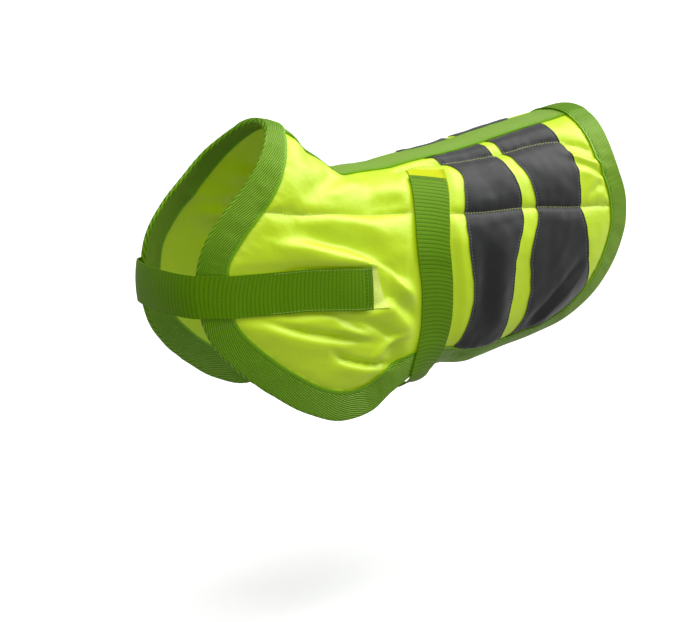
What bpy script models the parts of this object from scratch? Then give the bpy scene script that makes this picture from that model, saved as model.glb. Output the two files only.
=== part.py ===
"""A padded high-visibility dog coat in the shape it has when worn.

Sizes are in millimetres until a mesh is made. +X runs from the neck to the tail, +Z up, and
the dog's left side is at -Y. The origin is on the coat's inner face, on the spine, above the
girth strap.

Each half of the coat is cut in a flat pattern: s runs along the spine from the nape, and t runs
down the side from the spine. One net of triangles covers the pattern and holds every seam, edge
and stitch line, so each piece that lies on the panel is made from the panel's own points.
"""

import math

import bmesh
import bpy
import numpy as np
from mathutils import Vector
from mathutils.geometry import delaunay_2d_cdt

MM = 0.001

# Driving sizes, mm
WALL = 2.0  # padded cloth where it is sewn flat
LOFT = 3.4  # how far the padding rises between the stitch lines
LOFT_RUN = 9.0  # how fast it rises beside a stitch line
SEAM = 0.3  # gap between neighbouring pieces
TAPE_THICK = 0.9
BAND_THICK = 0.5
WEBBING_THICK = 1.3
BINDING_WIDE = 25.0  # visible width of the folded tape
BINDING_WIDE_AT_NAPE = 17.0
NAPE_RUN = 90.0  # the binding has its full width this far down the neck edge
TAPE_HALF = 19.0
WEBBING_HALF = 18.0
PATCH_SHOWS = 12.0  # loop patch beyond the end of its strap
PATCH_LONG = 80.0
STEP = 15.0  # between points along the pattern's lines
EDGE_STEP = 13.0  # between points along the cut edge
CELL = 16.0  # side of the net's triangles
CLEAR = 6.0  # a free point of the net keeps this far from a line

# The general figure that fills the coat, a row for each leaning ring along the spine
FIGURE_COLUMNS = ("x", "z", "lean", "half_width", "widest_at", "depth", "top_round", "low_round")
FIGURE = (
    (-145, 48, 46, 44, 74, 185, 2.0, 2.0),
    (-132, 45, 43, 51, 82, 205, 2.0, 2.1),
    (-103, 21, 36, 64, 96, 250, 2.0, 2.3),
    (-68, 1, 26, 76, 106, 290, 2.0, 2.6),
    (-28, -2, 15, 80, 110, 290, 2.1, 3.0),
    (12, 1, 7, 81, 108, 208, 2.2, 3.0),
    (77, 7, 4, 83, 106, 202, 2.2, 2.8),
    (147, 18, 2, 83, 106, 202, 2.2, 2.8),
    (205, 27, 1, 79, 104, 198, 2.2, 2.8),
    (245, 33, 0, 71, 102, 190, 2.2, 2.6),
)

# The cut edge of one half, from the nape round the front flap and the hem to the tail, as (s, t)
EDGE = (
    (0, 0), (1, 40), (2, 84), (2, 116), (5, 147), (13, 177), (28, 208), (43, 223), (61, 234),
    (81, 243), (100, 252), (118, 258), (133, 252), (144, 236), (158, 225), (182, 234), (212, 246),
    (252, 250), (294, 250), (335, 242), (366, 219), (390, 187), (404, 152), (405, 122), (398, 90),
    (396, 60), (399, 28), (401, 0),
)

# Reflective bands: a row for each distance down the side, and s of each band's two edges
BAND_COLUMNS = ("t", "front_from", "front_to", "rear_from", "rear_to")
BANDS = (
    (19, 190, 254, 266, 336),
    (50, 207, 259, 271, 338),
    (80, 199, 264, 279, 340),
    (110, 195, 261, 280, 337),
    (140, 198, 249, 268, 341),
    (170, 202, 248, 270, 346),
    (200, 198, 247, 269, 350),
    (235, 188, 250, 256, 352),
)

# Quilting lines and the middle lines of the two straps on the panel, as (s, t)
UPPER_QUILTING = ((150, 27), (194, 33), (263, 42), (339, 52), (368, 68))
LOWER_QUILTING = (
    (20, 107), (45, 91), (86, 72), (142, 74), (194, 88), (263, 100), (338, 118), (381, 125),
)
CHEST_STRAP = (
    (110, 137), (90, 140), (73, 147), (58, 158.5), (44.5, 170.5), (33, 183), (25, 191), (14, 202),
)
GIRTH_STRAP = ((172, 47), (163, 80), (160, 104), (166, 150), (169, 187), (166, 224), (165, 248))
CHEST_REACH = 60.0  # how far each free span holds the direction it leaves the panel in
GIRTH_REACH = 95.0

# The largest folds: ends as (s, t), height, half breadth
FOLD_COLUMNS = ("s0", "t0", "s1", "t1", "height", "breadth")
FOLDS = (
    (44, 99, 84, 104, 3.0, 13),
    (84, 104, 128, 146, 5.0, 14),
    (128, 146, 146, 182, 3.5, 12),
    (57, 196, 114, 190, 3.0, 10),
    (106, 196, 134, 210, 3.0, 9),
    (139, 194, 150, 216, 4.5, 9),
    (236, 112, 232, 206, 3.5, 14),
    (281, 222, 343, 175, 2.5, 12),
    (336, 60, 378, 84, 2.0, 9),
)

YELLOW = (0.63, 0.86, 0.02)
GREEN = (0.10, 0.30, 0.02)
WEBBING_GREEN = (0.08, 0.24, 0.02)
GREY = (0.075, 0.078, 0.085)
PALE_YELLOW = (0.66, 0.84, 0.10)


def through(knots, rows, at):
    """Smooth values at the given places between a table's rows."""
    slopes = np.gradient(rows, knots, axis=0)
    i = np.clip(np.searchsorted(knots, at) - 1, 0, len(knots) - 2)
    run = (knots[i + 1] - knots[i])[:, None]
    u = (at - knots[i])[:, None] / run
    start = (2 * u**3 - 3 * u**2 + 1) * rows[i] + (u**3 - 2 * u**2 + u) * run * slopes[i]
    end = (3 * u**2 - 2 * u**3) * rows[i + 1] + (u**3 - u**2) * run * slopes[i + 1]
    return start + end


def run_along(points):
    """Distance from the first point to each point of a line."""
    return np.r_[0.0, np.cumsum(np.linalg.norm(np.diff(points, axis=0), axis=1))]


def curve(points, step):
    """A smooth line through a table's points, with a point about every step."""
    rows = np.asarray(points, float)
    run = run_along(rows)
    count = max(2, round(run[-1] / step) + 1)
    return through(run, rows, np.linspace(0, run[-1], count))


FIGURE_ROWS = np.asarray(FIGURE, float)
SPINE_RUN = run_along(FIGURE_ROWS[:, :2])
RING_STEPS = 181


def skin(flat):
    """Points of the general figure's left side under the pattern's points."""
    s, t = np.asarray(flat, float).T
    ring = dict(zip(FIGURE_COLUMNS, through(SPINE_RUN, FIGURE_ROWS, s).T[:, :, None]))
    turn = np.linspace(0, math.pi, RING_STEPS)[None, :]
    cos, sin = np.abs(np.cos(turn)), np.sin(turn).clip(0)
    upper = turn <= math.pi / 2
    power = np.where(upper, 2 / ring["top_round"], 2 / ring["low_round"])
    out = ring["half_width"] * sin**power
    above = ring["widest_at"] * (1 - cos**power)
    below = ring["widest_at"] + (ring["depth"] - ring["widest_at"]) * cos**power
    down = np.where(upper, above, below)
    run = np.cumsum(np.hypot(np.diff(out), np.diff(down)), axis=1)
    run = np.concatenate([np.zeros((len(s), 1)), run], axis=1)
    rows = np.arange(len(s))
    i = np.clip((run < t[:, None]).sum(axis=1) - 1, 0, RING_STEPS - 2)
    u = (t - run[rows, i]) / (run[rows, i + 1] - run[rows, i])
    out = out[rows, i] + u * (out[rows, i + 1] - out[rows, i])
    down = down[rows, i] + u * (down[rows, i + 1] - down[rows, i])
    tilt = np.radians(ring["lean"][:, 0])
    x = ring["x"][:, 0] - down * np.sin(tilt)
    z = ring["z"][:, 0] - down * np.cos(tilt)
    return np.stack([x, -out, z], axis=1)


def slopes_at(flat):
    """How a point of the figure moves for each millimetre of s and of t."""
    flat = np.asarray(flat, float)
    along, across = np.array([1.0, 0.0]), np.array([0.0, 1.0])
    above = np.maximum(flat - across, [-9e9, 0.0])
    by_s = (skin(flat + along) - skin(flat - along)) / 2
    by_t = (skin(flat + across) - skin(above)) / (flat + across - above)[:, 1:]
    return by_s, by_t


def unit(vectors):
    return vectors / np.linalg.norm(vectors, axis=-1, keepdims=True)


def outward(flat):
    """Directions straight out of the figure."""
    by_s, by_t = slopes_at(flat)
    return unit(np.cross(by_t, by_s))


def inset(line, widths, steps=5):
    """A line that lies beside another, each point walked across the figure by its width."""
    heading = np.gradient(line, axis=0)
    moved = np.array(line, float)
    for _ in range(steps):
        by_s, by_t = slopes_at(moved)
        way = unit(by_s * heading[:, :1] + by_t * heading[:, 1:])
        side = np.cross(way, unit(np.cross(by_s, by_t)))
        ss, st, tt = (by_s * by_s).sum(1), (by_s * by_t).sum(1), (by_t * by_t).sum(1)
        s_part, t_part = (side * by_s).sum(1), (side * by_t).sum(1)
        bend = ss * tt - st * st
        walk = np.stack([(s_part * tt - t_part * st) / bend, (t_part * ss - s_part * st) / bend], 1)
        moved += walk * np.reshape(widths, (-1, 1)) / steps
    return moved


def distance(points, line):
    """Distance in the pattern from each point to a line."""
    start, way = line[:-1], np.diff(line, axis=0)
    reach = points[:, None, :] - start[None]
    u = ((reach * way).sum(2) / (way * way).sum(1)).clip(0, 1)
    return np.linalg.norm(reach - u[..., None] * way, axis=2).min(axis=1)


def inside(points, loop):
    """Which of the pattern's points lie within a closed line."""
    x, y = points[:, :1], points[:, 1:]
    x0, y0 = loop.T
    x1, y1 = np.roll(loop, -1, axis=0).T
    crosses = (y0 > y) != (y1 > y)
    level = np.where(y1 == y0, 1.0, y1 - y0)
    return (crosses & (x < x0 + (y - y0) / level * (x1 - x0))).sum(axis=1) % 2 == 1


def smooth(value, low, high):
    u = np.clip((value - low) / (high - low), 0, 1)
    return u * u * (3 - 2 * u)


# ---- The pattern's lines ----

def cut_edge():
    line = curve(EDGE, EDGE_STEP)
    line[:, 1] = np.maximum(line[:, 1], SEAM / 2)
    return line


def binding_line(edge):
    """Where the binding ends on the panel, straight across at the spine."""
    down = run_along(edge)
    taper = BINDING_WIDE_AT_NAPE + (BINDING_WIDE - BINDING_WIDE_AT_NAPE) * smooth(down, 0, NAPE_RUN)
    line = inset(edge, taper)
    line[[0, -1], 1] = SEAM / 2
    return line


def strap_shape(middle):
    """Loops of a strap on the panel and of the loop patch under its end."""
    line = curve(middle, STEP)
    end = unit(line[0] - line[1])
    by_s, by_t = slopes_at(line[:1])
    stretch = np.linalg.norm(by_s[0] * end[0] + by_t[0] * end[1])
    tip = line[0] + end * PATCH_SHOWS / stretch
    half = np.full(len(line), WEBBING_HALF)
    sides = [inset(line, half), inset(line, -half)]
    strap = np.vstack([sides[0], sides[1][::-1]])
    count = int(np.searchsorted(run_along(skin(line)), PATCH_LONG))
    tips = [side[0] + (tip - line[0]) for side in sides]
    patch = np.vstack([tips[:1], sides[0][:count], sides[1][:count][::-1], tips[1:]])
    return strap, patch


def band_shape(front_name, rear_name):
    """Loop of a reflective band, from the spine tape down past the hem's binding."""
    table = dict(zip(BAND_COLUMNS, zip(*BANDS)))
    front, rear = (
        curve(list(zip(table[name], table["t"])), STEP) for name in (front_name, rear_name)
    )
    return np.vstack([front, rear[::-1]])


OUTLINE = cut_edge()
BINDING_END = binding_line(OUTLINE)
SPINE_END = OUTLINE[-1, 0]
SPINE_LINE = curve([(0, SEAM / 2), (SPINE_END, SEAM / 2)], STEP)
TAPE_LINE = curve([(0, TAPE_HALF), (SPINE_END, TAPE_HALF)], STEP)
UPPER_LINE, LOWER_LINE = curve(UPPER_QUILTING, STEP), curve(LOWER_QUILTING, STEP)
CHEST_SHAPE, CHEST_PATCH = strap_shape(CHEST_STRAP)
GIRTH_SHAPE, GIRTH_PATCH = strap_shape(GIRTH_STRAP)
FRONT_BAND = band_shape("front_from", "front_to")
REAR_BAND = band_shape("rear_from", "rear_to")
JOIN_LINE = np.array([(167.0, 190.0), (167.0, 260.0)])  # binding ends meet under the girth strap
FAN_END = 150.0  # the rings lean less and less up to here, so they fan out lower down


def free_points(lines):
    """Points that keep clear of the lines, closer together where the rings fan out."""
    columns = np.r_[np.arange(6, FAN_END, CELL * 0.75), np.arange(FAN_END, SPINE_END, CELL)]
    rows = np.arange(8, OUTLINE[:, 1].max(), CELL * 0.9)
    grid = np.array([(s + (j % 2) * CELL / 2, t) for j, t in enumerate(rows) for s in columns])
    keep = inside(grid, OUTLINE)
    for line in lines:
        keep &= distance(grid, line) > CLEAR
    return grid[keep]


def net():
    """Triangles over one half of the pattern, with every line among their edges."""
    loops = (CHEST_SHAPE, CHEST_PATCH, GIRTH_SHAPE, GIRTH_PATCH, FRONT_BAND, REAR_BAND)
    lines = [np.vstack([loop, loop[:1]]) for loop in loops]
    lines += [OUTLINE, BINDING_END, SPINE_LINE, TAPE_LINE, UPPER_LINE, LOWER_LINE, JOIN_LINE]
    points, edges = [], []
    for line in lines:
        first = len(points)
        points += [Vector(point) for point in line]
        edges += [(first + i, first + i + 1) for i in range(len(line) - 1)]
    points += [Vector(point) for point in free_points(lines)]
    spots, _, cells, _, _, _ = delaunay_2d_cdt(points, edges, [], 0, 0.02)
    flat, cells = np.array([tuple(spot) for spot in spots]), np.array(cells)
    cells = cells[inside(flat[cells].mean(axis=1), OUTLINE)]
    used, cells = np.unique(cells, return_inverse=True)
    return flat[used], cells.reshape(-1, 3)


FLAT, CELLS = net()
MIDDLES = FLAT[CELLS].mean(axis=1)
ON_SPINE = FLAT[:, 1] < SEAM

IN_BODY = inside(MIDDLES, BINDING_END)
BELOW_TAPE = MIDDLES[:, 1] > TAPE_HALF
FRONT_PART = MIDDLES[:, 0] < JOIN_LINE[0, 0]
CELLS_OF = {
    "spine_tape": CELLS[IN_BODY & ~BELOW_TAPE],
    "reflective_front": CELLS[IN_BODY & BELOW_TAPE & inside(MIDDLES, FRONT_BAND)],
    "reflective_rear": CELLS[IN_BODY & BELOW_TAPE & inside(MIDDLES, REAR_BAND)],
    "binding_front": CELLS[~IN_BODY & FRONT_PART],
    "binding_rear": CELLS[~IN_BODY & ~FRONT_PART],
    "chest_strap": CELLS[inside(MIDDLES, CHEST_SHAPE)],
    "girth_strap": CELLS[inside(MIDDLES, GIRTH_SHAPE)],
    "chest_loop_patch": CELLS[IN_BODY & inside(MIDDLES, CHEST_PATCH)],
    "girth_loop_patch": CELLS[IN_BODY & inside(MIDDLES, GIRTH_PATCH)],
}


def border(cells):
    """The edges that only one of the cells has."""
    ends = np.concatenate([cells[:, [0, 1]], cells[:, [1, 2]], cells[:, [2, 0]]])
    _, index, count = np.unique(
        np.sort(ends, axis=1), axis=0, return_inverse=True, return_counts=True
    )
    return ends[count[index.reshape(-1)] == 1]


def cut_edges():
    """The net's edges along the cut edge, in order from the nape round to the tail."""
    after = {b: a for a, b in border(CELLS).tolist() if not (ON_SPINE[a] and ON_SPINE[b])}
    point = next(b for b in after if b not in after.values())
    edges = []
    while point in after:
        edges.append((point, after[point]))
        point = after[point]
    return edges


CUT_EDGES = cut_edges()


# ---- Heights over the figure ----

def fold_height():
    """The folds lift both faces of the wall."""
    height = np.zeros(len(FLAT))
    for row in FOLDS:
        fold = dict(zip(FOLD_COLUMNS, row))
        ends = np.array([(fold["s0"], fold["t0"]), (fold["s1"], fold["t1"])], float)
        away = distance(FLAT, ends) / fold["breadth"]
        height = np.maximum(height, fold["height"] * np.exp(-(away**2)))
    return height * smooth(distance(FLAT, OUTLINE), 6, 40) * smooth(FLAT[:, 1], 25, 60)


def thickness():
    """The padded wall, thinnest along each stitch line and under the straps."""
    sewn = np.minimum(distance(FLAT, UPPER_LINE), distance(FLAT, LOWER_LINE))
    sewn = np.minimum(sewn, distance(FLAT, BINDING_END))
    sewn = np.minimum(sewn, np.abs(FLAT[:, 1] - TAPE_HALF))
    loft = LOFT * (1 - np.exp(-sewn / LOFT_RUN))
    loft[~inside(FLAT, BINDING_END) | (FLAT[:, 1] < TAPE_HALF)] = 0.0
    for middle in (CHEST_STRAP, GIRTH_STRAP):
        loft *= smooth(distance(FLAT, curve(middle, STEP)), WEBBING_HALF - 3, WEBBING_HALF + 12)
    return WALL + loft


SKIN, OUTWARD = skin(FLAT), outward(FLAT)
INNER = fold_height()
OUTER = INNER + thickness()


def height_over(layers):
    """Height of whatever shows on the panel: its own face, or a layer that lies on it."""
    height = OUTER.copy()
    for layer in layers:
        covered = np.unique(CELLS_OF[layer])
        height[covered] = OUTER[covered] + SEAM + TAPE_THICK
    return height


# ---- Bodies ----

LEFT, RIGHT = 1.0, -1.0
COUNT = len(FLAT)


def on_side(points, side):
    """Points of the left half, or their mirror images."""
    return points * np.array([1.0, side, 1.0])


def body(name, cells, low, high, color, roughness):
    """One closed body between two sheets that share the same cells."""
    faces = [*(cells + len(low)), *cells[:, ::-1]]
    faces += [(a, b, b + len(low), a + len(low)) for a, b in border(cells)]
    mesh = bpy.data.meshes.new(name)
    mesh.from_pydata((np.vstack([low, high]) * MM).tolist(), [], [list(map(int, f)) for f in faces])
    work = bmesh.new()
    work.from_mesh(mesh)
    loose = [vert for vert in work.verts if not vert.link_faces]
    bmesh.ops.delete(work, geom=loose, context="VERTS")
    bmesh.ops.triangulate(work, faces=work.faces[:])
    bmesh.ops.recalc_face_normals(work, faces=work.faces[:])
    work.to_mesh(mesh)
    work.free()
    mesh.shade_smooth()
    mesh.set_sharp_from_angle(angle=math.radians(40))
    mesh.materials.append(cloth(name, color, roughness))
    bpy.context.collection.objects.link(bpy.data.objects.new(name, mesh))


def cloth(name, color, roughness):
    material = bpy.data.materials.new(name)
    material.use_nodes = True
    shader = material.node_tree.nodes["Principled BSDF"]
    shader.inputs["Base Color"].default_value = (*color, 1.0)
    shader.inputs["Roughness"].default_value = roughness
    shader.inputs["Metallic"].default_value = 0.0
    return material


def drawn_in(cells, fixed):
    """The pattern's points, with those on a piece's rim moved in by half a seam."""
    push = np.zeros_like(FLAT)
    for a, b in border(cells):
        if ON_SPINE[a] and ON_SPINE[b]:
            continue
        way = unit(FLAT[b] - FLAT[a])
        push[[a, b]] += (-way[1], way[0])
    size = np.linalg.norm(push, axis=1)
    moved = (size > 0.05) & ~fixed
    flat = FLAT.copy()
    flat[moved] += push[moved] / size[moved, None] * SEAM / 2
    return flat


def panel(name, side):
    low, high = SKIN + OUTWARD * INNER[:, None], SKIN + OUTWARD * OUTER[:, None]
    body(name, CELLS, on_side(low, side), on_side(high, side), YELLOW, 0.45)


def patch(name, cells, thick, side, color, roughness):
    """A piece that lies on one panel."""
    flat = drawn_in(cells, fixed=ON_SPINE)
    base, out = skin(flat), outward(flat)
    low, high = (base + out * (OUTER + SEAM + up)[:, None] for up in (0.0, thick))
    body(name, cells, on_side(low, side), on_side(high, side), color, roughness)


def spine_tape():
    """The tape crosses from one half to the other at the spine."""
    cells = CELLS_OF["spine_tape"]
    flat = drawn_in(cells, fixed=ON_SPINE)
    flat[ON_SPINE, 1] = 0.0
    base, out = skin(flat), outward(flat)
    low, high = (base + out * (OUTER + SEAM + up)[:, None] for up in (0.0, TAPE_THICK))
    other = np.where(ON_SPINE[cells], cells, cells + COUNT)[:, ::-1]
    sheets = [np.vstack([sheet, on_side(sheet, RIGHT)]) for sheet in (low, high)]
    body("spine_tape", np.vstack([cells, other]), *sheets, GREEN, 0.7)


def edge_ways():
    """At each point of the cut edge, the direction in the cloth that leaves the panel."""
    ways = np.zeros_like(SKIN)
    for a, b in CUT_EDGES:
        way = unit(SKIN[b] - SKIN[a])
        ways[[a, b]] += np.cross(way, OUTWARD[[a, b]])
    on_edge = np.linalg.norm(ways, axis=1) > 0.1
    ways[ON_SPINE, 1] = 0.0
    ways[on_edge] = unit(ways[on_edge])
    return ways, on_edge


def binding(name, cells, side):
    """Tape folded round the cut edge: a leaf on each face of the panel, joined by a fold."""
    ways, on_edge = edge_ways()
    flat = drawn_in(cells, fixed=on_edge)
    base, out = skin(flat), outward(flat)
    fold_out = SEAM + TAPE_THICK * 0.9
    # Four stations round the edge: height of the tape's two faces, and their reach past the edge
    stations = (
        (OUTER + SEAM, 0.0, OUTER + SEAM + TAPE_THICK, 0.0),
        (OUTER, SEAM, OUTER + TAPE_THICK / 2, fold_out),
        (INNER, SEAM, INNER - TAPE_THICK / 2, fold_out),
        (INNER - SEAM, 0.0, INNER - SEAM - TAPE_THICK, 0.0),
    )
    low = [base + out * near[:, None] + ways * past for near, past, _, _ in stations]
    high = [base + out * far[:, None] + ways * past for _, _, far, past in stations]
    piece_edges = {tuple(sorted(pair)) for pair in border(cells).tolist()}
    fold = []
    for a, b in CUT_EDGES:
        if tuple(sorted((a, b))) not in piece_edges:
            continue
        for near in range(0, 3 * COUNT, COUNT):
            far = near + COUNT
            fold += [(b + near, a + near, a + far), (b + near, a + far, b + far)]
    sheet = np.vstack([cells, fold, cells[:, ::-1] + 3 * COUNT])
    body(name, sheet, *(on_side(np.vstack(face), side) for face in (low, high)), GREEN, 0.7)


def free_span(start, finish, heading, steps):
    """Rows of points from one rim to the other, leaving each along the strap."""
    back = on_side(-heading, RIGHT)
    rows = [start]
    for u in np.linspace(0, 1, steps + 1)[1:-1]:
        near = start * (2 * u**3 - 3 * u**2 + 1) + heading * (u**3 - 2 * u**2 + u)
        rows.append(near + finish * (3 * u**2 - 2 * u**3) + back * (u**3 - u**2))
    return [*rows, finish]


def strap(name, middle, loop_patch, reach, steps, away):
    """Webbing that lies on both panels and spans freely from one cut edge to the other."""
    cells = CELLS_OF[name]
    own = {tuple(sorted(pair)) for pair in border(cells).tolist()}
    crossing = [pair for pair in CUT_EDGES if tuple(sorted(pair)) in own]
    rim = [a for a, _ in crossing] + [crossing[-1][1]]
    bindings = ["binding_front", "binding_rear"]
    left = on_side(SKIN + OUTWARD * (height_over([loop_patch, *bindings]) + SEAM)[:, None], LEFT)
    right = on_side(SKIN + OUTWARD * (height_over(bindings) + SEAM)[:, None], RIGHT)
    ends = skin(curve(middle, STEP)[-3:])
    heading = unit(ends[-1] - ends[0]) * reach
    rows = free_span(left[rim], right[rim], heading, steps)
    low = np.vstack([left, right, *rows[1:-1]])
    outer_rows = []
    for before, row, after in zip(rows, rows[1:], rows[2:]):
        normal = unit(np.cross(after - before, np.gradient(row, axis=0)))
        normal *= np.sign(normal @ away)[:, None]
        outer_rows.append(row + normal * WEBBING_THICK)
    webbing = OUTWARD * WEBBING_THICK
    high = np.vstack([left + on_side(webbing, LEFT), right + on_side(webbing, RIGHT), *outer_rows])
    first = 2 * COUNT + len(rim) * np.arange(steps - 1)[:, None] + np.arange(len(rim))
    index = np.vstack([rim, first, np.array(rim) + COUNT])
    free = []
    for near, far in zip(index, index[1:]):
        for j in range(len(rim) - 1):
            free += [(near[j], near[j + 1], far[j + 1]), (near[j], far[j + 1], far[j])]
    sheet = np.vstack([cells, cells[:, ::-1] + COUNT, free])
    body(name, sheet, low, high, WEBBING_GREEN, 0.6)


for item in list(bpy.data.objects):
    bpy.data.objects.remove(item, do_unlink=True)

for word, hand in (("left", LEFT), ("right", RIGHT)):
    panel(f"panel_{word}", hand)
    for band in ("reflective_front", "reflective_rear"):
        patch(f"{band}_{word}", CELLS_OF[band], BAND_THICK, hand, GREY, 0.5)
    for part in ("binding_front", "binding_rear"):
        binding(f"{part}_{word}", CELLS_OF[part], hand)
spine_tape()
for loop in ("chest_loop_patch", "girth_loop_patch"):
    patch(loop, CELLS_OF[loop], TAPE_THICK, LEFT, PALE_YELLOW, 0.9)
strap("chest_strap", CHEST_STRAP, "chest_loop_patch", CHEST_REACH, 8, away=(-1, 0, 0))
strap("girth_strap", GIRTH_STRAP, "girth_loop_patch", GIRTH_REACH, 12, away=(0, 0, -1))
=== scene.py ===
import math

import bpy
import numpy as np
from mathutils import Matrix, Vector, noise
from mathutils.geometry import delaunay_2d_cdt


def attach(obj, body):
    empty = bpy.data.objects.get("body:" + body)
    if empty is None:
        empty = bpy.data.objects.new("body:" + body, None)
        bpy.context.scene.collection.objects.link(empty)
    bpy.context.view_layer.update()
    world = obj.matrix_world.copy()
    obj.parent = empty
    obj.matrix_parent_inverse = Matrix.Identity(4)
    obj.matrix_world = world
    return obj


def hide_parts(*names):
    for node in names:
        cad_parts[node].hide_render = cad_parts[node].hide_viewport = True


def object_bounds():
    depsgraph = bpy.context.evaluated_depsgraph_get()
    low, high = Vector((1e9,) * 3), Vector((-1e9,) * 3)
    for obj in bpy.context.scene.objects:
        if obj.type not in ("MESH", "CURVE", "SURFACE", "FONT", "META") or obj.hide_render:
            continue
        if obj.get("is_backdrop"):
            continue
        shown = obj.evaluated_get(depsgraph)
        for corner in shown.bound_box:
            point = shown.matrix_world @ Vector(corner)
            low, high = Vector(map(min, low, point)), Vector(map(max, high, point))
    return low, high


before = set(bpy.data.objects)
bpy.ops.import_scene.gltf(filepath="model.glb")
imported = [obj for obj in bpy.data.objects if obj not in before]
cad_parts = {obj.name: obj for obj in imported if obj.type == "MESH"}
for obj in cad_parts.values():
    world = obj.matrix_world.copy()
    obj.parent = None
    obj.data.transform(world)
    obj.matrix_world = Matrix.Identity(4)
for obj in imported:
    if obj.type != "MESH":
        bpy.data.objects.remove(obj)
cad_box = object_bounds()

# ---- Studio ----
# A plain pale floor some way below the coat, three broad soft lights (from the tail end, overhead
# and the front), and the camera at the front left, a little above the back.

CAMERA_AZIMUTH, CAMERA_HEIGHT = math.radians(38), math.radians(14)
CAMERA_AWAY = 1.5385
LENS, FRAME_WIDE = 90.0, 36.0  # millimetres
AIM = Vector((-0.048, 0.0, 0.0017))
AIM_RIGHT, AIM_UP = 0.004525, 0.132175  # where the aim lies in the picture, from its middle
FLOOR_LEVEL, FLOOR_HALF, FLOOR_ROUGHNESS = -0.41, 40.0, 0.6
FLOOR_LIGHTING, FLOOR_SEEN = 0.28, 0.92
SKY_LIGHTING, SKY_SEEN = 0.22, 1.0

camera_right = Vector((math.cos(CAMERA_AZIMUTH), -math.sin(CAMERA_AZIMUTH), 0.0))
camera_back = Vector((
    -math.sin(CAMERA_AZIMUTH) * math.cos(CAMERA_HEIGHT),
    -math.cos(CAMERA_AZIMUTH) * math.cos(CAMERA_HEIGHT),
    math.sin(CAMERA_HEIGHT),
))
camera_up = camera_back.cross(camera_right)
camera = bpy.data.objects.new("camera", bpy.data.cameras.new("camera"))
camera.data.lens, camera.data.sensor_width = LENS, FRAME_WIDE
camera.matrix_world = Matrix.Translation(
    AIM + camera_back * CAMERA_AWAY - camera_right * AIM_RIGHT - camera_up * AIM_UP
) @ Matrix((camera_right, camera_up, camera_back)).transposed().to_4x4()
bpy.context.collection.objects.link(camera)
bpy.context.scene.camera = camera


def soft_light(name, towards, spread, power):
    """Even light from one direction, as from a large soft box."""
    lamp = bpy.data.objects.new(name, bpy.data.lights.new(name, "SUN"))
    lamp.data.energy, lamp.data.angle = power, math.radians(spread)
    lamp.rotation_euler = Vector(towards).to_track_quat("-Z", "Y").to_euler()
    bpy.context.collection.objects.link(lamp)


soft_light("tail_light", (-0.75, 0.20, -0.63), 50, 2.7)
soft_light("overhead_light", (-0.10, 0.10, -1.0), 60, 2.3)
soft_light("front_light", (0.40, 0.53, -0.75), 50, 0.95)


def seen_value(tree, socket, lighting, seen):
    """One value where the camera sees it, and a dimmer one where it lights the folds."""
    camera_ray = tree.nodes.new("ShaderNodeLightPath").outputs["Is Camera Ray"]
    value = tree.nodes.new("ShaderNodeMapRange")
    value.inputs["To Min"].default_value = lighting
    value.inputs["To Max"].default_value = seen
    tree.links.new(camera_ray, value.inputs["Value"])
    tree.links.new(value.outputs[0], socket)


sky = bpy.data.worlds.new("studio")
sky.use_nodes = True
sky_background = sky.node_tree.nodes["Background"]
sky_background.inputs["Color"].default_value = (1.0, 1.0, 1.0, 1.0)
seen_value(sky.node_tree, sky_background.inputs["Strength"], SKY_LIGHTING, SKY_SEEN)
bpy.context.scene.world = sky
bpy.context.scene.view_settings.view_transform = "Standard"

floor_corners = ((-1, -1), (1, -1), (1, 1), (-1, 1))
floor_mesh = bpy.data.meshes.new("floor")
floor_mesh.from_pydata(
    [(x * FLOOR_HALF, y * FLOOR_HALF, FLOOR_LEVEL) for x, y in floor_corners], [], [(0, 1, 2, 3)]
)
floor = bpy.data.objects.new("floor", floor_mesh)
floor_paint = bpy.data.materials.new("pale_floor")
floor_paint.use_nodes = True
floor_shader = floor_paint.node_tree.nodes["Principled BSDF"]
floor_shader.inputs["Roughness"].default_value = FLOOR_ROUGHNESS
seen_value(floor_paint.node_tree, floor_shader.inputs["Base Color"], FLOOR_LIGHTING, FLOOR_SEEN)
floor_mesh.materials.append(floor_paint)
bpy.context.collection.objects.link(floor)
floor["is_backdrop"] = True

# ---- Side panels ----
# Two mirrored halves of thin wadding between smooth fluorescent yellow nylon, joined along the
# spine and quilted by two lines of stitches a side. The cloth puffs up between the seams, and
# drops in soft folds behind the neck edge, over the front flap and above the hem.

MM = 0.001
LEFT, RIGHT = 1.0, -1.0
SIDES = (("left", LEFT), ("right", RIGHT))
WALL, SEAM = 2.0, 0.3
LOFT, LOFT_RUN = 3.4, 9.0  # how high the wadding puffs up, and how far from a seam
TAPE_HALF = 19.0
BINDING_WIDE, BINDING_WIDE_AT_NAPE, NAPE_RUN = 25.0, 17.0, 90.0
WEBBING_HALF = 18.0
CLOTH_STEP = 2.2  # side of the panel's triangles
FINE_UNTIL, NET_LONG, NET_DEEP = 150, 410, 262  # the triangles are finer over the front folds

# The figure under the coat: a row for each leaning ring along the spine
FIGURE_COLUMNS = ("x", "z", "lean", "half_width", "widest_at", "depth", "top_round", "low_round")
FIGURE = np.array((
    (-145, 48, 46, 44, 74, 185, 2.0, 2.0),
    (-132, 45, 43, 51, 82, 205, 2.0, 2.1),
    (-103, 21, 36, 64, 96, 250, 2.0, 2.3),
    (-68, 1, 26, 76, 106, 290, 2.0, 2.6),
    (-28, -2, 15, 80, 110, 290, 2.1, 3.0),
    (12, 1, 7, 81, 108, 208, 2.2, 3.0),
    (77, 7, 4, 83, 106, 202, 2.2, 2.8),
    (147, 18, 2, 83, 106, 202, 2.2, 2.8),
    (205, 27, 1, 79, 104, 198, 2.2, 2.8),
    (245, 33, 0, 71, 102, 190, 2.2, 2.6),
), float)

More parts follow.
